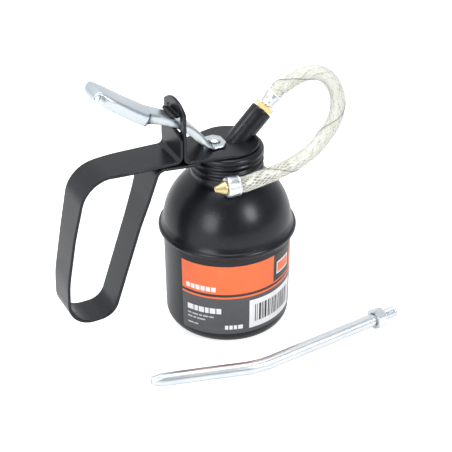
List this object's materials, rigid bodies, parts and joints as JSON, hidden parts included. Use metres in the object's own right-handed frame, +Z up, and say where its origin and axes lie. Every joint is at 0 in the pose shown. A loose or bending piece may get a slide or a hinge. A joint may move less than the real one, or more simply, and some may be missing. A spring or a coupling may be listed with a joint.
{
  "type": "hand pump oil can",
  "caption": "Hand pump oil can: round reservoir with domed top, screw cap carrying a thumb-lever lift pump, loop handle, angled spout with braided hose and brass nozzle, and a spare bent spout.",
  "frame": {"origin": "centre of the reservoir's base, on the surface it stands on", "axes": "+Z up the reservoir's axis, +X towards the side the spout leans to, the handle at -X"},
  "size_m": [0.1626, 0.0911, 0.1447],
  "materials": {
    "black_paint": "satin-gloss black paint",
    "zinc_plate": "bright zinc plate",
    "brass": "turned brass",
    "rubber": "matt",
    "bright_steel": "ground steel",
    "sintered_bronze": "matt",
    "hose_vinyl": "clear hose over woven braid"
  },
  "bodies": {
    "reservoir": {"reservoir_cup": "black_paint", "reservoir_dome": "black_paint"},
    "gasket": {"cap_gasket": "rubber"},
    "head": {"screw_cap": "black_paint", "top_bracket": "black_paint", "loop_handle": "black_paint", "pump_head": "zinc_plate", "barrel_tube": "bright_steel", "rod_packing": "rubber", "return_spring": "bright_steel", "outlet_seat": "brass", "outlet_plug": "brass", "intake_strainer": "sintered_bronze", "spout_tube": "black_paint", "hose_union": "brass", "union_ferrule": "zinc_plate", "delivery_hose": "hose_vinyl", "nozzle_ferrule": "zinc_plate", "nozzle_tip": "brass"},
    "lever": {"lever": "zinc_plate"},
    "rod": {"pump_rod": "bright_steel", "pump_piston": "brass", "piston_seal": "rubber", "piston_seat": "brass"},
    "piston_ball": {"piston_ball": "bright_steel"},
    "outlet_ball": {"outlet_ball": "bright_steel"},
    "spare": {"spare_spout": "zinc_plate", "spare_nut": "zinc_plate"}
  },
  "joints": [
    {"name": "cap_lift", "type": "slide", "parent": "reservoir", "child": "gasket", "axis": [0, 0, 1], "range_m": [0, 0.01225]},
    {"name": "cap_turn", "type": "hinge", "parent": "gasket", "child": "head", "pos_m": [0, 0, 0.09], "axis": [0, 0, 1], "range_deg": [0, 1260]},
    {"name": "lever_press", "type": "hinge", "parent": "head", "child": "lever", "pos_m": [-0.0284, 0, 0.1164], "axis": [0, -1, 0], "range_deg": [0, 18], "stiffness_Nm_per_rad": 0.5, "springref_deg": -13.75},
    {"name": "rod_lift", "type": "slide", "parent": "head", "child": "rod", "axis": [0, 0, 1], "range_m": [0, 0.008], "deforming": ["return_spring"]},
    {"name": "piston_ball_lift", "type": "slide", "parent": "rod", "child": "piston_ball", "axis": [0, 0, 1], "range_m": [0, 0.0011]},
    {"name": "outlet_ball_lift", "type": "slide", "parent": "head", "child": "outlet_ball", "axis": [0, 0, 1], "range_m": [0, 0.0011]},
    {"name": "spare_lift", "type": "slide", "parent": "reservoir", "child": "spare", "axis": [0, 0, 1], "range_m": [0, 0.1]}
  ],
  "couplings": [
    {"joint": "cap_turn", "follows": "cap_lift", "rad_per_m": 1795.2},
    {"joint": "lever_press", "follows": "rod_lift", "rad_per_m": 39.26}
  ]
}
